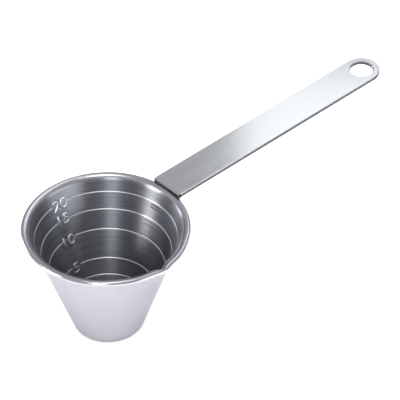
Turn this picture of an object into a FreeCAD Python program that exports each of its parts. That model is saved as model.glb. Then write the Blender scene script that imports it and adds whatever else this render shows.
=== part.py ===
import FreeCAD, Part
import math
import os

import Sketcher

# A bar jigger: a conical cup drawn from thin sheet with a rolled rim, a pinched pouring lip and
# five fill rings, and a flat strip handle whose end is set down over the rim and welded there.
# The origin is the centre of the cup's base. The handle points along +X and the lip along -Y.

DIMENSIONS = [
    ("base_radius", 9.8),       # where the outside of the wall would meet the table
    ("wall_slope", 19.0),       # degrees from the vertical
    ("wall_thickness", 0.45),
    ("floor_thickness", 0.5),
    ("corner_radius", 1.0),     # outside corner between wall and floor
    ("cup_height", 33.9),
    ("rim_radius", 23.2),
    ("curl_radius", 0.8),       # outside radius of the rolled edge
    ("curl_turn", 240.0),       # degrees that the edge rolls on past the crown
    ("lip_start", 22.0),        # height where the pouring lip begins, and the rim's wall takes over
    ("let_in", 0.3),            # how far the rim's wall reaches down inside the bowl's wall
    ("let_in_gap", 0.02),       # and how far it keeps from both of that wall's surfaces
    ("lip_reach", 1.05),        # how far the lip's tip stands out of the round rim
    ("lip_half_angle", 18.0),   # degrees from the tip to where the rim is round again
    ("mark_radius", 0.25),      # section of the round-bottomed fill rings
    ("mark_depth", 0.12),
    ("mark_20ml", 29.7),
    ("mark_15ml", 24.8),
    ("mark_10ml", 19.2),
    ("mark_5ml", 11.0),
    ("mark_lowest", 6.3),
    ("strip_width", 10.4),
    ("strip_thickness", 1.2),
    ("strip_start", 22.8),      # where the strip stops being flat, measured from the cup's axis
    ("hole_distance", 97.0),
    ("hole_radius", 3.25),
    ("hole_edge", 0.2),
    ("edge_round", 0.3),
    ("tongue_length", 0.7),     # the end that is set down over the rim
    ("tongue_slope", 14.0),
    ("seam_angle", 25.6),       # degrees of rim that the weld seam covers
    ("seam_leg", 0.75),
]
LIP_SHAPE = [(1.0, 0.0), (0.62, 0.10), (0.34, 0.30), (0.14, 0.65), (0.0, 1.0)]
LIP_DIRECTION = -90.0
CROWN = 90.0
STAMP_TURN = 45.0           # how far down the shoulder the strip's seat follows the rim
SEAM_FIRST, SEAM_LAST = -20.0, 60.0   # where the weld touches the rolled edge, in its section
CLOSE = 0.01                # places nearer than this count as the same when edges are picked

ORIGIN = FreeCAD.Vector(0, 0, 0)
NORMAL = FreeCAD.Vector(0, 0, 1)
START, END, CENTRE = 1, 2, 3
SKETCH_ORIGIN = (-1, 1)

# Lengths that several sketches share, written in the sheet's own names.
CURL_X = "Sheet.rim_radius - Sheet.curl_radius"
SHOULDER = (
    "(Sheet.rim_radius - Sheet.curl_radius - Sheet.base_radius"
    " + Sheet.wall_thickness / cos(Sheet.wall_slope) - Sheet.cup_height * tan(Sheet.wall_slope))"
    " * cos(Sheet.wall_slope) / (1 - sin(Sheet.wall_slope))"
)
STRIP_TOP = "Sheet.cup_height + Sheet.strip_thickness"


def make_sheet(doc):
    sheet = doc.addObject("Spreadsheet::Sheet", "Sheet")
    for row, (alias, value) in enumerate(DIMENSIONS, start=1):
        sheet.set(f"A{row}", alias)
        sheet.set(f"B{row}", str(value))
        sheet.setAlias(f"B{row}", alias)
    doc.recompute()
    return sheet


def add_body(doc, label):
    body = doc.addObject("PartDesign::Body", label)
    body.Label = label
    return body


def origin_plane(body, role):
    return next(item for item in body.Origin.OriginFeatures if item.Role == role)


def add_sketch(body, name, role="XZ_Plane", turn=0.0):
    """A sketch on one of the body's planes, turned about the cup's axis by an angle in degrees."""
    sketch = body.newObject("Sketcher::SketchObject", name)
    sketch.AttachmentSupport = [(origin_plane(body, role), "")]
    sketch.MapMode = "FlatFace"
    axis = FreeCAD.Vector(0, 1, 0) if role == "XZ_Plane" else NORMAL
    sketch.AttachmentOffset = FreeCAD.Placement(ORIGIN, FreeCAD.Rotation(axis, turn))
    return sketch


def add_line(sketch, start, end):
    return sketch.addGeometry(Part.LineSegment(FreeCAD.Vector(*start, 0), FreeCAD.Vector(*end, 0)))


def add_arc(sketch, centre, radius, first, last):
    """An arc that runs anticlockwise between two directions, in degrees."""
    circle = Part.Circle(FreeCAD.Vector(*centre, 0), NORMAL, radius)
    return sketch.addGeometry(Part.ArcOfCircle(circle, math.radians(first), math.radians(last)))


def add_circle(sketch, centre, radius):
    return sketch.addGeometry(Part.Circle(FreeCAD.Vector(*centre, 0), NORMAL, radius))


def join(sketch, kind, *pairs):
    for first, second in pairs:
        sketch.addConstraint(Sketcher.Constraint(kind, *first, *second))


def bind(sketch, kind, references, value, expression):
    """A dimension of the sketch that follows the sheet."""
    index = sketch.addConstraint(Sketcher.Constraint(kind, *references, value))
    sketch.setExpression(f"Constraints[{index}]", expression)


def pin(sketch, point, place, x_expression, y_expression):
    bind(sketch, "DistanceX", (*SKETCH_ORIGIN, *point), place[0], x_expression)
    bind(sketch, "DistanceY", (*SKETCH_ORIGIN, *point), place[1], y_expression)


def on_circle(centre, radius, direction):
    angle = math.radians(direction)
    return centre[0] + radius * math.cos(angle), centre[1] + radius * math.sin(angle)


def tangent_direction(point, centre, radius):
    """Direction from a circle's centre to where a line from a point below grazes its left side."""
    dx = point[0] - centre[0]
    dy = point[1] - centre[1]
    towards_point = math.degrees(math.atan2(dy, dx)) % 360.0
    return towards_point - math.degrees(math.acos(radius / math.hypot(dx, dy)))


class CupSection:
    """Places in the cup's section, in radius and height, worked out from the sheet."""

    def __init__(self, sheet):
        self.sheet = sheet
        slope = math.radians(sheet.wall_slope)
        self.sin, self.cos, self.tan = math.sin(slope), math.cos(slope), math.tan(slope)
        self.curl_x = sheet.rim_radius - sheet.curl_radius
        self.inner_base = sheet.base_radius - sheet.wall_thickness / self.cos
        gap = self.curl_x - self.inner_base - sheet.cup_height * self.tan
        self.shoulder = gap * self.cos / (1 - self.sin)

    def in_wall(self, level, depth):
        """The place at a depth in the wall, square to its outside, from a height on that outside."""
        outside = self.sheet.base_radius + level * self.tan
        return outside - depth * self.cos, level + depth * self.sin

    def pin_in_wall(self, sketch, point, place, level, depth):
        """Fixes a point at that place; level and depth are written in the sheet's names."""
        pin(
            sketch, point, place,
            f"Sheet.base_radius + ({level}) * tan(Sheet.wall_slope)"
            f" - ({depth}) * cos(Sheet.wall_slope)",
            f"{level} + ({depth}) * sin(Sheet.wall_slope)",
        )


def draw_bowl(sketch, section):
    """Floor, rounded corner and the lower wall, as one closed profile from the axis."""
    sheet = section.sheet
    slope = sheet.wall_slope
    outer_r = sheet.corner_radius
    inner_r = outer_r - sheet.wall_thickness
    half_turn = math.tan(math.radians((90.0 - slope) / 2))
    outer_c = (sheet.base_radius - outer_r * half_turn, outer_r)
    inner_floor_x = section.inner_base + sheet.floor_thickness * section.tan
    inner_c = (inner_floor_x - inner_r * half_turn, sheet.floor_thickness + inner_r)
    outer_top = section.in_wall(sheet.lip_start, 0.0)
    inner_top = section.in_wall(sheet.lip_start, sheet.wall_thickness)

    bottom = add_line(sketch, (0, 0), (outer_c[0], 0))
    corner = add_arc(sketch, outer_c, outer_r, 270, 360 - slope)
    outside = add_line(sketch, on_circle(outer_c, outer_r, -slope), outer_top)
    split = add_line(sketch, outer_top, inner_top)
    inside = add_line(sketch, inner_top, on_circle(inner_c, inner_r, -slope))
    fillet = add_arc(sketch, inner_c, inner_r, 270, 360 - slope)
    floor = add_line(sketch, (inner_c[0], sheet.floor_thickness), (0, sheet.floor_thickness))
    axis = add_line(sketch, (0, sheet.floor_thickness), (0, 0))

    join(
        sketch, "Coincident",
        ((outside, END), (split, START)), ((split, END), (inside, START)),
        ((floor, END), (axis, START)), ((axis, END), (bottom, START)),
        ((bottom, START), SKETCH_ORIGIN),
    )
    join(
        sketch, "Tangent",
        ((bottom, END), (corner, START)), ((corner, END), (outside, START)),
        ((inside, END), (fillet, END)), ((fillet, START), (floor, START)),
    )
    section.pin_in_wall(sketch, (split, START), outer_top, "Sheet.lip_start", "0")
    section.pin_in_wall(sketch, (split, END), inner_top, "Sheet.lip_start", "Sheet.wall_thickness")
    sketch.addConstraint(Sketcher.Constraint("Horizontal", bottom))
    sketch.addConstraint(Sketcher.Constraint("Horizontal", floor))
    sketch.addConstraint(Sketcher.Constraint("Vertical", axis))
    sketch.addConstraint(Sketcher.Constraint("Parallel", inside, outside))
    bind(sketch, "Angle", (outside,), math.radians(90 - slope), "90 deg - Sheet.wall_slope * 1 deg")
    bind(sketch, "Radius", (corner,), outer_r, "Sheet.corner_radius")
    bind(sketch, "Radius", (fillet,), inner_r, "Sheet.corner_radius - Sheet.wall_thickness")
    bind(sketch, "DistanceY", (axis, END, axis, START), sheet.floor_thickness, "Sheet.floor_thickness")


def draw_rim(sketch, section, share=0.0):
    """The upper wall and the rolled edge. share is the part of the lip's reach at this place."""
    sheet = section.sheet
    curl_c = (section.curl_x + share * sheet.lip_reach, sheet.cup_height - sheet.curl_radius)
    shoulder_c = (curl_c[0], sheet.cup_height - section.shoulder)
    under_shoulder = section.shoulder - sheet.wall_thickness
    inner_curl = sheet.curl_radius - sheet.wall_thickness
    foot = sheet.lip_start - sheet.let_in
    outer_foot = section.in_wall(foot, sheet.let_in_gap)
    inner_foot = section.in_wall(foot, sheet.wall_thickness - sheet.let_in_gap)
    graze_outer = tangent_direction(outer_foot, shoulder_c, under_shoulder)
    graze_inner = tangent_direction(inner_foot, shoulder_c, section.shoulder)
    last = CROWN - sheet.curl_turn

    outside = add_line(sketch, outer_foot, on_circle(shoulder_c, under_shoulder, graze_outer))
    under = add_arc(sketch, shoulder_c, under_shoulder, CROWN, graze_outer)
    inner = add_arc(sketch, curl_c, inner_curl, last, CROWN)
    edge = add_line(
        sketch, on_circle(curl_c, inner_curl, last), on_circle(curl_c, sheet.curl_radius, last)
    )
    outer = add_arc(sketch, curl_c, sheet.curl_radius, last, CROWN)
    over = add_arc(sketch, shoulder_c, section.shoulder, CROWN, graze_inner)
    inside = add_line(sketch, on_circle(shoulder_c, section.shoulder, graze_inner), inner_foot)
    end = add_line(sketch, inner_foot, outer_foot)

    join(
        sketch, "Tangent",
        ((outside, END), (under, END)), ((under, START), (inner, END)),
        ((outer, END), (over, START)), ((over, END), (inside, START)),
    )
    join(
        sketch, "Coincident",
        ((inner, START), (edge, START)), ((edge, END), (outer, START)),
        ((inside, END), (end, START)), ((end, END), (outside, START)),
        ((under, CENTRE), (over, CENTRE)), ((inner, CENTRE), (outer, CENTRE)),
    )
    foot_level = "Sheet.lip_start - Sheet.let_in"
    inner_depth = "Sheet.wall_thickness - Sheet.let_in_gap"
    section.pin_in_wall(sketch, (end, END), outer_foot, foot_level, "Sheet.let_in_gap")
    section.pin_in_wall(sketch, (end, START), inner_foot, foot_level, inner_depth)
    pin(
        sketch, (outer, CENTRE), curl_c,
        f"{CURL_X} + {share} * Sheet.lip_reach", "Sheet.cup_height - Sheet.curl_radius",
    )
    join(sketch, "Vertical", ((over, CENTRE), (outer, CENTRE)))
    sketch.addConstraint(Sketcher.Constraint("PointOnObject", outer, CENTRE, edge))
    bind(sketch, "Radius", (outer,), sheet.curl_radius, "Sheet.curl_radius")
    bind(sketch, "Radius", (inner,), inner_curl, "Sheet.curl_radius - Sheet.wall_thickness")
    bind(sketch, "Radius", (over,), section.shoulder, SHOULDER)
    bind(
        sketch, "Angle", (edge,), math.radians(last),
        "90 deg - Sheet.curl_turn * 1 deg",
    )


def revolve(body, name, sketch, kind="Revolution", angle=None, midplane=False):
    feature = body.newObject(f"PartDesign::{kind}", name)
    feature.Profile = sketch
    feature.ReferenceAxis = (sketch, ["V_Axis"])
    feature.Midplane = midplane
    if angle:
        feature.setExpression("Angle", angle)
    else:
        feature.Angle = 360.0
    return feature


def lip_sections():
    """Each section of the lip, in order round the rim: its direction and its share of the reach."""
    one_side = [(place, share) for share, place in LIP_SHAPE]
    other_side = [(-place, share) for place, share in one_side[1:]]
    return sorted(one_side + other_side)


def build_cup(doc, sheet):
    body = add_body(doc, "cup")
    section = CupSection(sheet)

    bowl = add_sketch(body, "bowl_profile")
    draw_bowl(bowl, section)
    revolve(body, "bowl", bowl)

    # The rolled edge runs round the rim from one side of the lip to the other.
    rim = add_sketch(body, "rim_profile", turn=LIP_DIRECTION + sheet.lip_half_angle)
    draw_rim(rim, section)
    revolve(body, "rolled_rim", rim, angle="360 - 2 * Sheet.lip_half_angle")

    sections = []
    for number, (place, share) in enumerate(lip_sections(), start=1):
        turn = LIP_DIRECTION + place * sheet.lip_half_angle
        sketch = add_sketch(body, f"lip_profile_{number}", turn=turn)
        draw_rim(sketch, section, share)
        sections.append(sketch)
    lip = body.newObject("PartDesign::AdditiveLoft", "pouring_lip")
    lip.Profile = sections[0]
    lip.Sections = sections[1:]
    lip.Ruled = True

    # Each fill ring is a shallow round-bottomed line in the inside of the wall.
    marks = add_sketch(body, "fill_ring_profile")
    inset = "(Sheet.mark_radius - Sheet.mark_depth)"
    for alias in ("mark_20ml", "mark_15ml", "mark_10ml", "mark_5ml", "mark_lowest"):
        level = getattr(sheet, alias)
        away = sheet.mark_radius - sheet.mark_depth
        place = (
            section.inner_base + level * section.tan - away * section.cos,
            level + away * section.sin,
        )
        ring = add_circle(marks, place, sheet.mark_radius)
        pin(
            marks, (ring, CENTRE), place,
            "Sheet.base_radius - Sheet.wall_thickness / cos(Sheet.wall_slope)"
            f" + Sheet.{alias} * tan(Sheet.wall_slope) - {inset} * cos(Sheet.wall_slope)",
            f"Sheet.{alias} + {inset} * sin(Sheet.wall_slope)",
        )
        bind(marks, "Radius", (ring,), sheet.mark_radius, "Sheet.mark_radius")
    revolve(body, "fill_rings", marks, kind="Groove")
    return body


def draw_strip(sketch, sheet):
    """The flat strip seen from above: two long edges and a round outer end."""
    half = sheet.strip_width / 2
    near = add_line(sketch, (sheet.strip_start, half), (sheet.strip_start, -half))
    right = add_line(sketch, (sheet.strip_start, -half), (sheet.hole_distance, -half))
    tip = add_arc(sketch, (sheet.hole_distance, 0), half, -90, 90)
    left = add_line(sketch, (sheet.hole_distance, half), (sheet.strip_start, half))
    join(
        sketch, "Coincident",
        ((near, END), (right, START)), ((left, END), (near, START)),
    )
    join(
        sketch, "Tangent",
        ((right, END), (tip, START)), ((tip, END), (left, START)),
    )
    sketch.addConstraint(Sketcher.Constraint("Vertical", near))
    sketch.addConstraint(Sketcher.Constraint("Horizontal", right))
    bind(sketch, "Radius", (tip,), half, "Sheet.strip_width / 2")
    pin(sketch, (near, START), (sheet.strip_start, half), "Sheet.strip_start", "Sheet.strip_width / 2")
    bind(
        sketch, "DistanceX", (*SKETCH_ORIGIN, tip, CENTRE), sheet.hole_distance,
        "Sheet.hole_distance",
    )


def draw_tongue(sketch, sheet):
    """The end of the strip seen from the side, sloping down towards the cup."""
    top = sheet.cup_height + sheet.strip_thickness
    slope = math.radians(sheet.tongue_slope)
    back = sheet.strip_start - sheet.tongue_length * math.cos(slope)
    drop = sheet.tongue_length * math.sin(slope)
    joint = add_line(sketch, (sheet.strip_start, sheet.cup_height), (sheet.strip_start, top))
    upper = add_line(sketch, (sheet.strip_start, top), (back, top - drop))
    face = add_line(sketch, (back, top - drop), (back, sheet.cup_height - drop))
    lower = add_line(sketch, (back, sheet.cup_height - drop), (sheet.strip_start, sheet.cup_height))
    join(
        sketch, "Coincident",
        ((joint, END), (upper, START)), ((upper, END), (face, START)),
        ((face, END), (lower, START)), ((lower, END), (joint, START)),
    )
    pin(
        sketch, (joint, START), (sheet.strip_start, sheet.cup_height),
        "Sheet.strip_start", "Sheet.cup_height",
    )
    sketch.addConstraint(Sketcher.Constraint("Vertical", joint))
    sketch.addConstraint(Sketcher.Constraint("Vertical", face))
    sketch.addConstraint(Sketcher.Constraint("Parallel", upper, lower))
    bind(
        sketch, "DistanceY", (joint, START, joint, END), sheet.strip_thickness,
        "Sheet.strip_thickness",
    )
    bind(
        sketch, "DistanceX", (upper, END, joint, END), sheet.strip_start - back,
        "Sheet.tongue_length * cos(Sheet.tongue_slope)",
    )
    bind(
        sketch, "DistanceY", (upper, END, joint, END), drop,
        "Sheet.tongue_length * sin(Sheet.tongue_slope)",
    )


def draw_rim_stamp(sketch, section):
    """What the rim takes up above the middle of its curl, for seating the strip's end on it."""
    sheet = section.sheet
    curl_c = (section.curl_x, sheet.cup_height - sheet.curl_radius)
    shoulder_c = (section.curl_x, sheet.cup_height - section.shoulder)
    last = CROWN + STAMP_TURN
    left = on_circle(shoulder_c, section.shoulder, last)
    over = add_arc(sketch, shoulder_c, section.shoulder, CROWN, last)
    inner = add_line(sketch, left, (left[0], shoulder_c[1]))
    bottom = add_line(sketch, (left[0], shoulder_c[1]), (sheet.rim_radius, shoulder_c[1]))
    side = add_line(sketch, (sheet.rim_radius, shoulder_c[1]), (sheet.rim_radius, curl_c[1]))
    outer = add_arc(sketch, curl_c, sheet.curl_radius, 0, CROWN)
    join(
        sketch, "Coincident",
        ((over, END), (inner, START)), ((inner, END), (bottom, START)),
        ((bottom, END), (side, START)),
    )
    join(sketch, "Tangent", ((side, END), (outer, START)), ((outer, END), (over, START)))
    join(sketch, "Vertical", ((over, CENTRE), (outer, CENTRE)))
    join(sketch, "Horizontal", ((over, CENTRE), (inner, END)))
    for vertical in (inner, side):
        sketch.addConstraint(Sketcher.Constraint("Vertical", vertical))
    sketch.addConstraint(Sketcher.Constraint("Horizontal", bottom))
    pin(sketch, (outer, CENTRE), curl_c, CURL_X, "Sheet.cup_height - Sheet.curl_radius")
    bind(sketch, "Radius", (outer,), sheet.curl_radius, "Sheet.curl_radius")
    bind(sketch, "Radius", (over,), section.shoulder, SHOULDER)
    bind(
        sketch, "DistanceX", (*SKETCH_ORIGIN, inner, END), left[0],
        f"{CURL_X} - ({SHOULDER}) * sin({STAMP_TURN})",
    )


def outline_edges(shape, sheet):
    """The long and round outer edges of the flat strip, above and below."""
    half = sheet.strip_width / 2
    chosen = []
    for number, edge in enumerate(shape.Edges, start=1):
        box = edge.BoundBox
        level = box.ZMax - box.ZMin < CLOSE
        long_side = level and box.XMin > sheet.strip_start - CLOSE and box.YMax - box.YMin < CLOSE
        round_end = level and box.XMax > sheet.hole_distance + half - CLOSE
        if long_side or round_end:
            chosen.append(f"Edge{number}")
    return chosen


def hole_edges(shape, sheet):
    return [
        f"Edge{number}"
        for number, edge in enumerate(shape.Edges, start=1)
        if isinstance(edge.Curve, Part.Circle)
        and abs(edge.Curve.Radius - sheet.hole_radius) < CLOSE
    ]


def build_handle(doc, sheet):
    body = add_body(doc, "handle")
    section = CupSection(sheet)

    plan = add_sketch(body, "strip_outline", role="XY_Plane")
    plan.setExpression("AttachmentOffset.Base.z", "Sheet.cup_height")
    draw_strip(plan, sheet)
    strip = body.newObject("PartDesign::Pad", "strip")
    strip.Profile = plan
    strip.setExpression("Length", "Sheet.strip_thickness")

    hole_plan = add_sketch(body, "hanging_hole_place", role="XY_Plane")
    hole_plan.setExpression("AttachmentOffset.Base.z", STRIP_TOP)
    circle = add_circle(hole_plan, (sheet.hole_distance, 0), sheet.hole_radius)
    pin(hole_plan, (circle, CENTRE), (sheet.hole_distance, 0), "Sheet.hole_distance", "0")
    bind(hole_plan, "Radius", (circle,), sheet.hole_radius, "Sheet.hole_radius")
    hole = body.newObject("PartDesign::Pocket", "hanging_hole")
    hole.Profile = hole_plan
    hole.Type = "ThroughAll"
    doc.recompute()

    rounded = body.newObject("PartDesign::Fillet", "rounded_edges")
    rounded.Base = (hole, outline_edges(hole.Shape, sheet))
    rounded.setExpression("Radius", "Sheet.edge_round")
    doc.recompute()
    broken = body.newObject("PartDesign::Chamfer", "hole_edges_broken")
    broken.Base = (rounded, hole_edges(rounded.Shape, sheet))
    broken.setExpression("Size", "Sheet.hole_edge")
    doc.recompute()

    side = add_sketch(body, "tongue_profile")
    draw_tongue(side, sheet)
    tongue = body.newObject("PartDesign::Pad", "tongue")
    tongue.Profile = side
    tongue.Midplane = True
    tongue.setExpression("Length", "Sheet.strip_width - 2 * Sheet.edge_round")

    stamp = add_sketch(body, "rim_stamp")
    draw_rim_stamp(stamp, section)
    revolve(body, "seat_on_rim", stamp, kind="Groove", angle="2 * Sheet.seam_angle", midplane=True)
    return body


def build_weld(doc, sheet):
    """Weld metal between the outside of the rolled rim and the underside of the strip."""
    body = add_body(doc, "weld_seam")
    section = CupSection(sheet)
    curl_c = (section.curl_x, sheet.cup_height - sheet.curl_radius)
    low = on_circle(curl_c, sheet.curl_radius, SEAM_FIRST)
    high = on_circle(curl_c, sheet.curl_radius, SEAM_LAST)
    reach = high[0] + sheet.seam_leg

    sketch = add_sketch(body, "seam_profile")
    root = add_arc(sketch, curl_c, sheet.curl_radius, SEAM_FIRST, SEAM_LAST)
    rise = add_line(sketch, high, (high[0], sheet.cup_height))
    top = add_line(sketch, (high[0], sheet.cup_height), (reach, sheet.cup_height))
    face = add_line(sketch, (reach, sheet.cup_height), low)
    join(
        sketch, "Coincident",
        ((root, END), (rise, START)), ((rise, END), (top, START)),
        ((top, END), (face, START)), ((face, END), (root, START)),
    )
    sketch.addConstraint(Sketcher.Constraint("Vertical", rise))
    sketch.addConstraint(Sketcher.Constraint("Horizontal", top))
    pin(sketch, (root, CENTRE), curl_c, CURL_X, "Sheet.cup_height - Sheet.curl_radius")
    bind(sketch, "Radius", (root,), sheet.curl_radius, "Sheet.curl_radius")
    bind(sketch, "DistanceX", (top, START, top, END), sheet.seam_leg, "Sheet.seam_leg")
    for end, place, direction in ((START, low, SEAM_FIRST), (END, high, SEAM_LAST)):
        bind(
            sketch, "DistanceY", (*SKETCH_ORIGIN, root, end), place[1],
            f"Sheet.cup_height - Sheet.curl_radius + Sheet.curl_radius * sin({direction})",
        )
    bind(sketch, "DistanceY", (*SKETCH_ORIGIN, top, START), sheet.cup_height, "Sheet.cup_height")
    revolve(body, "seam", sketch, angle="Sheet.seam_angle", midplane=True)
    return body


def check(doc, bodies):
    for item in doc.Objects:
        if "Invalid" in item.State or "Error" in item.State:
            raise RuntimeError(f"{item.Name} failed: {item.State}")
    for body in bodies:
        if body.Shape.isNull() or not body.Shape.isValid() or len(body.Shape.Solids) != 1:
            raise RuntimeError(f"{body.Label} is not one sound solid")
        box = body.Shape.BoundBox
        print(
            f"{body.Label}: {body.Shape.Volume:.1f} mm3, x {box.XMin:.2f} to {box.XMax:.2f},"
            f" y {box.YMin:.2f} to {box.YMax:.2f}, z {box.ZMin:.2f} to {box.ZMax:.2f}"
        )


def main():
    os.makedirs("parts", exist_ok=True)
    doc = FreeCAD.newDocument("bar_jigger")
    sheet = make_sheet(doc)
    bodies = [build(doc, sheet) for build in (build_cup, build_handle, build_weld)]
    doc.recompute()
    check(doc, bodies)
    for body in bodies:
        body.Shape.exportStep(f"parts/{body.Label}.step")


main()
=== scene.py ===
"""A bar jigger: a conical steel cup with a rolled rim, a pinched lip and fill rings, on a strip handle."""
import math

import bpy
from mathutils import Matrix, Vector


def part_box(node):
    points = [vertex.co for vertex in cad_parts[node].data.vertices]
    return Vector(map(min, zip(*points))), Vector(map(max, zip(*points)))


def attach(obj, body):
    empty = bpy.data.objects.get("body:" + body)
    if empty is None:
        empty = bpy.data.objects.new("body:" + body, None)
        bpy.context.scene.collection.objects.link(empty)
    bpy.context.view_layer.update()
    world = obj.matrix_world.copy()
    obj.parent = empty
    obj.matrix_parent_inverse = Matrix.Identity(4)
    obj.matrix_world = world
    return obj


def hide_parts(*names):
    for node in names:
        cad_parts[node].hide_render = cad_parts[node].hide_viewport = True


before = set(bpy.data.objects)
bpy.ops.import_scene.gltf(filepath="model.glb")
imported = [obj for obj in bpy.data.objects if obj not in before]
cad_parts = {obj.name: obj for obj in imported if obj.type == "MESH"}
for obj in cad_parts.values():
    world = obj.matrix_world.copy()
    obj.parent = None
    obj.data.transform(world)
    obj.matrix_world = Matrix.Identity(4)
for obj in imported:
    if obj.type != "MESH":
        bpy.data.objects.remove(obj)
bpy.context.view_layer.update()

MM = 0.001

# The cup, in millimetres. Its height, rim and lip come from the frame.
CUP_LOW, CUP_HIGH = (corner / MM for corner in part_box("cup"))
RIM_RADIUS = CUP_HIGH.x
CUP_HEIGHT = CUP_HIGH.z
LIP_REACH = -CUP_LOW.y - RIM_RADIUS
BASE_RADIUS = 9.8
WALL_SLOPE = 19.0
WALL = 0.45
FLOOR = 0.5
CORNER = 1.0
CURL = 0.8
CURL_TURN = 240.0
LIP_START = 22.0
LIP_DIRECTION = -90.0
LIP_PINCH = 5.5          # degrees over which the narrow pinch dies out
LIP_BROAD_SHARE = 0.37   # how much of the lip's reach is the broad swelling round the pinch
LIP_BROAD_INNER = 14.0   # degrees where the swelling starts to die out
LIP_BROAD_OUTER = 38.0   # and where it has gone

CREASE_DEPTH = 0.6       # the sharper fold inside the lip, in millimetres
CREASE_WIDTH = 2.5       # and the degrees over which it dies out
CREASE_POWER = 1.2       # under 2, so the fold has a sharp bottom

AZIMUTH_STEPS = 432
WALL_STEPS = 24
FLOOR_STEPS = 12
RING_DEPTH = 0.19
RING_HALF_WIDTH = 0.24
RING_STEPS = 4           # points in half the width of a ring
RING_END = 0.8           # degrees on each side of a ring's end over which it fades

# Each fill ring: height, degrees of ring that its figure takes up, the figure, and the height and
# direction of the figure's middle.
RINGS = [
    (29.7, 9.5, "20", 29.2, 89.5),
    (24.8, 8.0, "15", 24.9, 90.8),
    (19.2, 8.0, "10", 18.5, 91.7),
    (11.0, 7.0, "5", 10.3, 90.0),
    (6.3, 0.0, "", 0.0, 0.0),
]
FIGURE_DIRECTION = 90.0
FIGURE_HEIGHT = 3.0
FIGURE_STRETCH = 1.18
FIGURE_ROUND = 0.23      # radius of the raised strokes
FIGURE_THINNING = 0.7    # share of that radius by which the outline is drawn in first
CAPITAL_SHARE = 0.7      # height of a figure as a share of the font's size

# Two pairs of short lines opposite the figures: height and direction of each.
SHORT_LINES = [(28.9, 3.7), (28.0, 3.7), (23.9, 6.3), (22.9, 6.3)]
SHORT_LINE_LENGTH = 3.2
SHORT_LINE_RADIUS = 0.14
BEVEL_STEPS = 3

SLOPE = math.radians(WALL_SLOPE)
SIN, COS, TAN = math.sin(SLOPE), math.cos(SLOPE), math.tan(SLOPE)
INNER_BASE = BASE_RADIUS - WALL / COS
CURL_X = RIM_RADIUS - CURL
CURL_Z = CUP_HEIGHT - CURL
SHOULDER = (CURL_X - INNER_BASE - CUP_HEIGHT * TAN) * COS / (1 - SIN)
LIP_FULL = CURL_Z - CURL


def clamp(value):
    return min(max(value, 0.0), 1.0)


def turn_between(azimuth, direction):
    """Degrees between two directions round the cup."""
    return abs((azimuth - direction + 180.0) % 360.0 - 180.0)


def smooth(value, low, high):
    """0 below low, 1 above high and a smooth rise between; low may be above high."""
    share = clamp((value - low) / (high - low))
    return share * share * (3.0 - 2.0 * share)


def lip_offset(azimuth):
    """How far the rim stands out of its circle, in millimetres, at a direction in degrees."""
    away = turn_between(azimuth, LIP_DIRECTION)
    broad = LIP_BROAD_SHARE * smooth(away, LIP_BROAD_OUTER, LIP_BROAD_INNER)
    narrow = (1.0 - LIP_BROAD_SHARE) * math.exp(-((away / LIP_PINCH) ** 2))
    return LIP_REACH * (broad + narrow)


def crease_offset(azimuth, radius):
    """How much further out the sheet is folded at the lip; the outer half of the roll isn't."""
    away = turn_between(azimuth, LIP_DIRECTION)
    on_sheet = clamp((CURL_X + CURL / 4 - radius) / (CURL * 0.75))
    return CREASE_DEPTH * on_sheet * math.exp(-((away / CREASE_WIDTH) ** CREASE_POWER))


def arc(centre, radius, first, last, count):
    """Points on an arc, as (radius, height) in the cup's section; directions are in degrees."""
    points = []
    for step in range(count):
        turn = math.radians(first + (last - first) * step / (count - 1))
        points.append((centre[0] + radius * math.cos(turn), centre[1] + radius * math.sin(turn)))
    return points


def inner_wall_heights(low, high):
    """Heights of the points up the inside wall: evenly spaced, and close together at each ring."""
    heights = [low + (high - low) * step / WALL_STEPS for step in range(WALL_STEPS + 1)]
    for level, *_ in RINGS:
        heights = [z for z in heights if abs(z - level) > 2.2 * RING_HALF_WIDTH]
        beside = RING_STEPS * 3 // 2
        heights += [level + RING_HALF_WIDTH * step / RING_STEPS for step in range(-beside, beside + 1)]
    return sorted(heights)


def cup_section():
    """The section from the middle of the inside floor, over the rim, to the middle of the underside."""
    half_turn = math.tan((math.pi / 2 - SLOPE) / 2)
    inner_corner = CORNER - WALL
    inner_centre = (INNER_BASE + FLOOR * TAN - inner_corner * half_turn, FLOOR + inner_corner)
    outer_centre = (BASE_RADIUS - CORNER * half_turn, CORNER)
    shoulder_centre = (CURL_X, CUP_HEIGHT - SHOULDER)
    curl_centre = (CURL_X, CURL_Z)
    last = 90.0 - CURL_TURN

    section = [(inner_centre[0] * step / FLOOR_STEPS, FLOOR) for step in range(1, FLOOR_STEPS)]
    section += arc(inner_centre, inner_corner, -90, -WALL_SLOPE, 6)
    low = section[-1][1]
    shoulder = arc(shoulder_centre, SHOULDER, 180 - WALL_SLOPE, 90, 14)
    high = shoulder[0][1]
    section += [(INNER_BASE + z * TAN, z) for z in inner_wall_heights(low, high)[1:-1]]
    section += shoulder
    section += arc(curl_centre, CURL, 90, last, 40)[1:]
    section += arc(curl_centre, CURL - WALL, last, 90, 24)
    section += arc(shoulder_centre, SHOULDER - WALL, 90, 180 - WALL_SLOPE, 12)[1:]
    top = section[-1][1]
    bottom = outer_centre[1] - CORNER * SIN
    section += [
        (BASE_RADIUS + z * TAN, z)
        for z in (top + (bottom - top) * step / WALL_STEPS for step in range(1, WALL_STEPS))
    ]
    section += arc(outer_centre, CORNER, -WALL_SLOPE, -90, 8)
    section += [(outer_centre[0] * (1 - step / FLOOR_STEPS), 0.0) for step in range(1, FLOOR_STEPS)]
    return section


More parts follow.
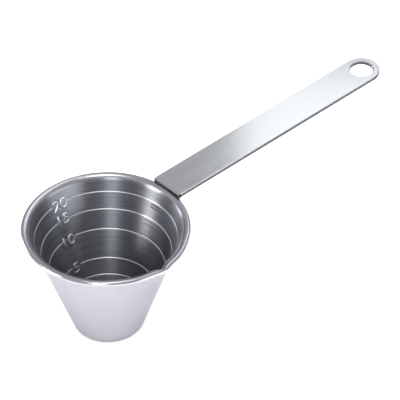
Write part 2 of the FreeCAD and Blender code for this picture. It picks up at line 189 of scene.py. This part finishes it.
def ring_depth(radius, height, azimuth):
    """How deep a fill ring is at a point of the inside wall, in millimetres."""
    if abs(radius - (INNER_BASE + height * TAN)) > WALL / 4:
        return 0.0
    for level, gap, text, *_ in RINGS:
        away = abs(height - level) / RING_HALF_WIDTH
        if away < 1.0:
            turn = turn_between(azimuth, FIGURE_DIRECTION)
            shown = smooth(turn, gap - RING_END, gap + RING_END) if text else 1.0
            return RING_DEPTH * shown * (1.0 - away * away) ** 2
    return 0.0


def build_mesh(name, vertices, faces):
    """An object with smooth shading, from vertices in millimetres."""
    mesh = bpy.data.meshes.new(name)
    mesh.from_pydata([Vector(v) * MM for v in vertices], [], faces)
    mesh.update()
    mesh.polygons.foreach_set("use_smooth", [True] * len(mesh.polygons))
    piece = bpy.data.objects.new(name, mesh)
    bpy.context.scene.collection.objects.link(piece)
    return piece


def build_cup():
    """The cup's section carried round its axis, with the lip pressed out and the rings pressed in."""
    section = cup_section()
    rows = len(section)
    vertices = []
    for step in range(AZIMUTH_STEPS):
        azimuth = 360.0 * step / AZIMUTH_STEPS
        turn = math.radians(azimuth)
        lip = lip_offset(azimuth)
        for radius, height in section:
            share = clamp((height - LIP_START) / (LIP_FULL - LIP_START))
            depth = ring_depth(radius, height, azimuth)
            out = radius + (lip + crease_offset(azimuth, radius)) * share + depth * COS
            vertices.append((out * math.cos(turn), out * math.sin(turn), height - depth * SIN))
    faces = []
    for step in range(AZIMUTH_STEPS):
        here = step * rows
        there = ((step + 1) % AZIMUTH_STEPS) * rows
        for row in range(rows - 1):
            faces.append((here + row, there + row, there + row + 1, here + row + 1))
    middle = len(vertices)
    vertices += [(0.0, 0.0, FLOOR), (0.0, 0.0, 0.0)]
    for step in range(AZIMUTH_STEPS):
        here = step * rows
        there = ((step + 1) % AZIMUTH_STEPS) * rows
        faces.append((middle, there, here))
        faces.append((middle + 1, here + rows - 1, there + rows - 1))
    return build_mesh("drawn_cup", vertices, faces)


def rounded_outline(curve, name, radius):
    """A curve's mesh as points and faces, with its edges rounded to a radius."""
    curve.bevel_depth = radius
    curve.bevel_resolution = BEVEL_STEPS
    carrier = bpy.data.objects.new(name, curve)
    bpy.context.scene.collection.objects.link(carrier)
    bpy.context.view_layer.update()
    evaluated = carrier.evaluated_get(bpy.context.evaluated_depsgraph_get())
    mesh = bpy.data.meshes.new_from_object(evaluated)
    points = [tuple(v.co) for v in mesh.vertices]
    faces = [tuple(p.vertices) for p in mesh.polygons]
    bpy.data.objects.remove(carrier)
    bpy.data.curves.remove(curve)
    bpy.data.meshes.remove(mesh)
    return points, faces


def figure(text, height):
    """Raised figures on a flat sheet: x along the writing, y up it, z out of the wall, in mm."""
    curve = bpy.data.curves.new("figure_outline", "FONT")
    curve.body = text
    curve.size = height / CAPITAL_SHARE
    curve.align_x = "CENTER"
    curve.align_y = "CENTER"
    curve.offset = -FIGURE_ROUND * FIGURE_THINNING
    curve.resolution_u = 6
    points, faces = rounded_outline(curve, "figure_outline", FIGURE_ROUND)
    return [(x * FIGURE_STRETCH, y, z) for x, y, z in points], faces


def bar(length):
    """A short line, laid into the wall."""
    curve = bpy.data.curves.new("bar_outline", "CURVE")
    curve.dimensions = "3D"
    line = curve.splines.new("POLY")
    line.points.add(1)
    line.points[0].co = (-length / 2, 0.0, 0.0, 1.0)
    line.points[1].co = (length / 2, 0.0, 0.0, 1.0)
    curve.use_fill_caps = True
    return rounded_outline(curve, "bar_outline", SHORT_LINE_RADIUS)


def on_wall(point, level, direction):
    """A point of the flat writing moved onto the inside wall, facing the cup's axis."""
    across, up, raised = point
    radius = INNER_BASE + level * TAN
    turn = math.radians(direction) - across / radius
    out = radius + up * SIN - raised * COS
    return out * math.cos(turn), out * math.sin(turn), level + up * COS + raised * SIN


def build_figures():
    written = [
        (figure(text, FIGURE_HEIGHT), level, direction)
        for _, _, text, level, direction in RINGS
        if text
    ]
    return write_on_wall("scale_figures", written)


def build_short_lines():
    written = [(bar(SHORT_LINE_LENGTH), level, direction) for level, direction in SHORT_LINES]
    return write_on_wall("short_lines", written)


def write_on_wall(name, written):
    """One mesh of raised writing on the inside wall, from outlines and the places of their middles."""
    vertices, faces = [], []
    for (points, polygons), level, direction in written:
        first = len(vertices)
        vertices += [on_wall(point, level, direction) for point in points]
        faces += [tuple(first + index for index in polygon) for polygon in polygons]
    return build_mesh(name, vertices, faces)


# ---------------------------------------------------------------- materials


ROUND_STROKE = 0.0006        # metres of noise for each radian round the cup
STRAIGHT_STROKE = 0.3        # how far the strip's strokes are stretched along it
FINE_SCALE, FINE_SHARE = 3200.0, 0.50
COARSE_SCALE, COARSE_SHARE = 420.0, 0.38
ROUND_COARSE_SCALE = 1300.0
CLOUD_SCALE, CLOUD_SHARE = 60.0, 0.12
FINE_RELIEF, FINE_RELIEF_DEPTH = 0.25, 0.00003
COARSE_RELIEF, COARSE_RELIEF_DEPTH = 0.15, 0.00006
ACROSS_THE_STROKES = 0.25    # a quarter turn of the highlights
DARK_EDGE_STARTS, DARK_EDGE_FULL = 0.3, 0.6   # how upright a face is where the painted dark reflection sets in
FAR_SIDE_SHARE = 0.4

# Every steel: its colours, roughness and finish.
STEELS = {
    # The inside is coloured darker than the outside as painted shade; its roughness and radial brushing
    # are the turned finish.
    "cup_inside_painted_shade": dict(
        low=(0.24, 0.245, 0.265), high=(0.36, 0.365, 0.385), roughness=0.37, brushed="round",
        relief=1.2, anisotropy=0.85, variation=0.2,
    ),
    "cup_outside": dict(
        low=(0.45, 0.447, 0.475), high=(0.50, 0.497, 0.525), roughness=0.24, brushed="round",
        relief=0.2, anisotropy=0.3, grazing=(0.66, 0.66, 0.70),
    ),
    # The strip's upright side faces carry a painted dark reflection.
    "handle_steel": dict(
        low=(0.53, 0.54, 0.555), high=(0.60, 0.61, 0.625), roughness=0.115, brushed="along",
        relief=0.08, painted_dark_edge=(0.07, 0.07, 0.08),
    ),
    # The fill rings are coloured lighter than the inside wall: a painted highlight.
    "ring_painted_highlight": dict(
        low=(0.50, 0.50, 0.52), high=(0.58, 0.58, 0.60), roughness=0.30, brushed="cast", relief=0.2,
    ),
    # The raised figures are coloured far lighter than the wall: a painted highlight.
    "figure_painted_highlight": dict(
        low=(0.80, 0.81, 0.84), high=(0.90, 0.91, 0.94), roughness=0.36, brushed="cast", relief=0.2,
    ),
    "line_steel": dict(
        low=(0.06, 0.06, 0.07), high=(0.10, 0.10, 0.11), roughness=0.40, brushed="cast", relief=0.2,
    ),
    "weld_steel": dict(
        low=(0.40, 0.38, 0.36), high=(0.62, 0.60, 0.58), roughness=0.40, brushed="cast",
    ),
}
FLOOR_LOW, FLOOR_HIGH = (0.86, 0.86, 0.865), (0.88, 0.88, 0.885)


def set_stops(node, stops):
    """Fills a colour ramp from pairs of a place and a colour."""
    elements = node.color_ramp.elements
    while len(elements) < len(stops):
        elements.new(0.5)
    for element, (place, colour) in zip(elements, stops):
        element.position = place
        element.color = (*colour, 1.0)


class Nodes:
    """A short way to write a material's nodes."""

    def __init__(self, name):
        self.material = bpy.data.materials.new(name)
        self.material.use_nodes = True
        self.tree = self.material.node_tree
        self.shader = self.tree.nodes["Principled BSDF"]

    def add(self, kind, inputs=None, **settings):
        node = self.tree.nodes.new(kind)
        for name, value in settings.items():
            setattr(node, name, value)
        for socket, value in (inputs or {}).items():
            if isinstance(value, bpy.types.NodeSocket):
                self.tree.links.new(value, node.inputs[socket])
            else:
                node.inputs[socket].default_value = value
        return node

    def math(self, operation, *values):
        return self.add("ShaderNodeMath", dict(enumerate(values)), operation=operation).outputs[0]

    def link(self, output, socket):
        self.tree.links.new(output, self.shader.inputs[socket])

    def ramp(self, factor, stops):
        node = self.add("ShaderNodeValToRGB", {"Fac": factor})
        set_stops(node, stops)
        return node.outputs["Color"]

    def noise(self, vector, scale, detail=3.0, roughness=0.6):
        node = self.add(
            "ShaderNodeTexNoise",
            {"Vector": vector, "Scale": scale, "Detail": detail, "Roughness": roughness},
        )
        return node.outputs["Fac"]


def stroke_space(nodes, place, brushed):
    """Where the brushing's noise is looked up, stretched along the strokes."""
    parts = nodes.add("ShaderNodeSeparateXYZ", {0: place})
    x, y, z = (parts.outputs[axis] for axis in "XYZ")
    if brushed == "round":
        angle = nodes.math("ARCTAN2", y, x)
        squares = nodes.math("ADD", nodes.math("MULTIPLY", x, x), nodes.math("MULTIPLY", y, y))
        across = nodes.math("SQRT", squares)
        along = nodes.math("MULTIPLY", angle, ROUND_STROKE)
        return nodes.add("ShaderNodeCombineXYZ", {0: along, 1: z, 2: across}).outputs[0]
    if brushed == "along":
        along = nodes.math("MULTIPLY", x, STRAIGHT_STROKE)
        return nodes.add("ShaderNodeCombineXYZ", {0: along, 1: y, 2: z}).outputs[0]
    return place


def paint_dark_edges(nodes, colour, painted_dark_edge):
    """Mixes a painted dark reflection into upright faces, and sooner on the side towards +Y."""
    normal = nodes.add("ShaderNodeTexCoord").outputs["Normal"]
    facing = nodes.add("ShaderNodeSeparateXYZ", {0: normal})
    upright = nodes.math("SUBTRACT", 1.0, nodes.math("ABSOLUTE", facing.outputs["Z"]))
    far_side = nodes.math("MAXIMUM", facing.outputs["Y"], 0.0)
    sideways = nodes.math("MULTIPLY_ADD", far_side, FAR_SIDE_SHARE, upright)
    dark_edge_share = nodes.add(
        "ShaderNodeMapRange",
        {"Value": sideways, "From Min": DARK_EDGE_STARTS, "From Max": DARK_EDGE_FULL},
    )
    edge = nodes.add(
        "ShaderNodeMix",
        {"Factor": dark_edge_share.outputs["Result"], "A": colour, "B": (*painted_dark_edge, 1.0)},
        data_type="RGBA",
    )
    return edge.outputs["Result"]


def steel(name, low, high, roughness, brushed, relief=1.0, anisotropy=0.0, variation=0.12,
          grazing=(1.0, 1.0, 1.0), painted_dark_edge=None):
    """Brushed steel whose colour varies between low and high.

    brushed is "round" for the turned cup, "along" for the strip and "cast" for no direction.
    grazing tints what is seen at a low angle, and painted_dark_edge is the colour of a painted dark
    reflection on upright faces, if any.
    """
    nodes = Nodes(name)
    place = nodes.add("ShaderNodeTexCoord").outputs["Object"]
    stroke = stroke_space(nodes, place, brushed)
    fine = nodes.noise(stroke, FINE_SCALE, 4.0, 0.7)
    coarse = nodes.noise(stroke, ROUND_COARSE_SCALE if brushed == "round" else COARSE_SCALE)
    cloud = nodes.noise(place, CLOUD_SCALE, 3.0, 0.55)
    mixed = nodes.math("MULTIPLY", fine, FINE_SHARE)
    mixed = nodes.math("ADD", mixed, nodes.math("MULTIPLY", coarse, COARSE_SHARE))
    mixed = nodes.math("ADD", mixed, nodes.math("MULTIPLY", cloud, CLOUD_SHARE))
    colour = nodes.ramp(mixed, [(0.35, low), (0.65, high)])
    if painted_dark_edge is not None:
        colour = paint_dark_edges(nodes, colour, painted_dark_edge)
    nodes.link(colour, "Base Color")
    spread = nodes.math("MULTIPLY", nodes.math("SUBTRACT", mixed, 0.5), variation)
    nodes.link(nodes.math("ADD", spread, roughness), "Roughness")
    bump = nodes.add(
        "ShaderNodeBump",
        {"Height": fine, "Strength": FINE_RELIEF * relief, "Distance": FINE_RELIEF_DEPTH},
    )
    bump = nodes.add(
        "ShaderNodeBump",
        {
            "Height": coarse,
            "Strength": COARSE_RELIEF * relief,
            "Distance": COARSE_RELIEF_DEPTH,
            "Normal": bump.outputs["Normal"],
        },
    )
    nodes.link(bump.outputs["Normal"], "Normal")
    nodes.shader.inputs["Metallic"].default_value = 1.0
    nodes.shader.inputs["Specular Tint"].default_value = (*grazing, 1.0)
    if anisotropy:
        nodes.shader.inputs["Anisotropic"].default_value = anisotropy
        nodes.shader.inputs["Anisotropic Rotation"].default_value = ACROSS_THE_STROKES
        tangent = nodes.add("ShaderNodeTangent", direction_type="RADIAL", axis="Z")
        nodes.link(tangent.outputs[0], "Tangent")
    return nodes.material


def pale_floor():
    nodes = Nodes("pale_floor")
    place = nodes.add("ShaderNodeTexCoord").outputs["Object"]
    grain = nodes.noise(place, 90.0, 4.0)
    nodes.link(nodes.ramp(grain, [(0.3, FLOOR_LOW), (0.7, FLOOR_HIGH)]), "Base Color")
    nodes.shader.inputs["Roughness"].default_value = 0.9
    nodes.shader.inputs["Specular IOR Level"].default_value = 0.1
    return nodes.material


def give(piece, *materials):
    piece.data.materials.clear()
    for material in materials:
        piece.data.materials.append(material)


def paint_cup(cup):
    """Picks each face's material: the first inside, with painted shade, the second outside, the third on
    the rings, with a painted highlight.
    """
    for face in cup.data.polygons:
        x, y, height = face.center / MM
        from_axis = math.hypot(x, y)
        on_curl = from_axis > CURL_X + lip_offset(math.degrees(math.atan2(y, x)))
        in_wall = from_axis < INNER_BASE + height * TAN + WALL / 2
        inside = height > FLOOR * 0.9 and in_wall and not on_curl
        on_ring = any(abs(height - level) < RING_HALF_WIDTH for level, *_ in RINGS)
        if inside:
            face.material_index = 2 if on_ring else 0
        else:
            face.material_index = 1


# ---------------------------------------------------------------- stage, lights and camera

FLOOR_HALF = 3000.0          # in millimetres
FLOOR_DROP = 0.00005         # in metres, so that the floor and the base don't share a plane

# The surroundings' brightness by the height of the direction, from the horizon up.
SURROUNDINGS = [
    (0.0, 0.9), (0.14, 0.32), (0.36, 0.14), (0.48, 0.5),
    (0.6, 0.58), (0.72, 0.58), (0.93, 0.5), (1.0, 0.2),
]
SURROUNDINGS_BLUE = 1.03

WHITE = (1.0, 1.0, 1.0)
BLUISH = (0.86, 0.93, 1.0)
LAVENDER = (0.90, 0.90, 1.0)
COOL = (0.955, 1.0, 1.0)
AIM = Vector((0.0, 0.0, 0.03))
SOFTBOX_DISTANCE = 1.2
# Softboxes round the object: name, azimuth and elevation in degrees, size in metres, brightness, tint.
AROUND = [
    ("front_softbox", -142.0, 34.0, (0.30, 0.56), 7.2, BLUISH),
    ("left_softbox", 157.0, 24.0, (0.30, 0.36), 24.0, WHITE),
    ("back_softbox", 110.0, 12.0, (0.36, 0.26), 8.0, LAVENDER),
    ("right_softbox", -72.0, 12.0, (1.10, 0.26), 6.0, LAVENDER),
]
# The others: name, place, what it is aimed at, size, brightness, tint, and whether it lights the floor.
OTHERS = [
    ("floor_light", (0.0, 0.0, 1.2), AIM, (3.6, 3.6), 2.7, WHITE, True),
    ("overhead_softbox", (0.0, 0.0, 1.5), AIM, (0.5, 0.5), 4.5, WHITE, False),
    ("handle_softbox", (0.418, 0.142, 0.616), (0.075, -0.219, 0.196), (0.35, 0.50), 1.24, COOL, False),
]

CAMERA_PLACE = (-0.494311, -0.583908, 0.709000)
CAMERA_TURN = -42.17
CAMERA_TILT = 48.945
CAMERA_ROLL = -0.583
CAMERA_LENS = 338.63
CAMERA_SENSOR = 36.0


def build_floor():
    corners = [
        (-FLOOR_HALF, -FLOOR_HALF, 0),
        (FLOOR_HALF, -FLOOR_HALF, 0),
        (FLOOR_HALF, FLOOR_HALF, 0),
        (-FLOOR_HALF, FLOOR_HALF, 0),
    ]
    floor = build_mesh("studio_floor", corners, [(0, 1, 2, 3)])
    floor.location.z = -FLOOR_DROP
    give(floor, pale_floor())


def build_world():
    """Grey surroundings that depend only on how high the direction points."""
    world = bpy.data.worlds.new("studio")
    world.use_nodes = True
    tree = world.node_tree
    background = tree.nodes["Background"]
    place = tree.nodes.new("ShaderNodeTexCoord")
    parts = tree.nodes.new("ShaderNodeSeparateXYZ")
    ramp = tree.nodes.new("ShaderNodeValToRGB")
    tree.links.new(place.outputs["Generated"], parts.inputs[0])
    tree.links.new(parts.outputs["Z"], ramp.inputs["Fac"])
    tree.links.new(ramp.outputs["Color"], background.inputs["Color"])
    set_stops(ramp, [(height, (tone, tone, tone * SURROUNDINGS_BLUE)) for height, tone in SURROUNDINGS])
    background.inputs["Strength"].default_value = 1.0
    bpy.context.scene.world = world


def add_softbox(name, place, aim, size, brightness, tint, lights_floor=False):
    """A softbox of a given brightness. One kind lights the floor, the other shows in the steel."""
    light = bpy.data.lights.new(name, "AREA")
    light.shape = "RECTANGLE"
    light.size, light.size_y = size
    light.color = tint
    light.energy = brightness * math.pi * size[0] * size[1]
    lamp = bpy.data.objects.new(name, light)
    lamp.location = place
    lamp.rotation_euler = (Vector(aim) - Vector(place)).to_track_quat("-Z", "Y").to_euler()
    lamp.visible_diffuse = lights_floor
    lamp.visible_glossy = not lights_floor
    bpy.context.scene.collection.objects.link(lamp)


def towards(azimuth, elevation):
    """The unit vector of a direction given in degrees."""
    turn, rise = math.radians(azimuth), math.radians(elevation)
    return Vector((math.cos(turn) * math.cos(rise), math.sin(turn) * math.cos(rise), math.sin(rise)))


def build_lights():
    for light in OTHERS:
        add_softbox(*light)
    for name, azimuth, elevation, size, brightness, tint in AROUND:
        place = AIM + SOFTBOX_DISTANCE * towards(azimuth, elevation)
        add_softbox(name, place, AIM, size, brightness, tint)


def build_camera():
    data = bpy.data.cameras.new("camera")
    data.sensor_width = CAMERA_SENSOR
    data.lens = CAMERA_LENS
    camera = bpy.data.objects.new("camera", data)
    turn = Matrix.Rotation(math.radians(CAMERA_TURN), 4, "Z")
    tilt = Matrix.Rotation(math.radians(CAMERA_TILT), 4, "X")
    roll = Matrix.Rotation(math.radians(CAMERA_ROLL), 4, "Z")
    camera.matrix_world = Matrix.Translation(CAMERA_PLACE) @ turn @ tilt @ roll
    bpy.context.scene.collection.objects.link(camera)
    bpy.context.scene.camera = camera


def main():
    steels = {name: steel(name, **look) for name, look in STEELS.items()}

    cup = build_cup()
    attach(cup, "root")
    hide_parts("cup")
    give(cup, steels["cup_inside_painted_shade"], steels["cup_outside"], steels["ring_painted_highlight"])
    paint_cup(cup)
    for writing, look in ((build_figures(), "figure_painted_highlight"), (build_short_lines(), "line_steel")):
        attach(writing, "root")
        give(writing, steels[look])
    for node, look in (("handle", "handle_steel"), ("weld_seam", "weld_steel")):
        give(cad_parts[node], steels[look])

    build_floor()
    build_world()
    build_lights()
    build_camera()
    bpy.context.scene.view_settings.view_transform = "Standard"


main()
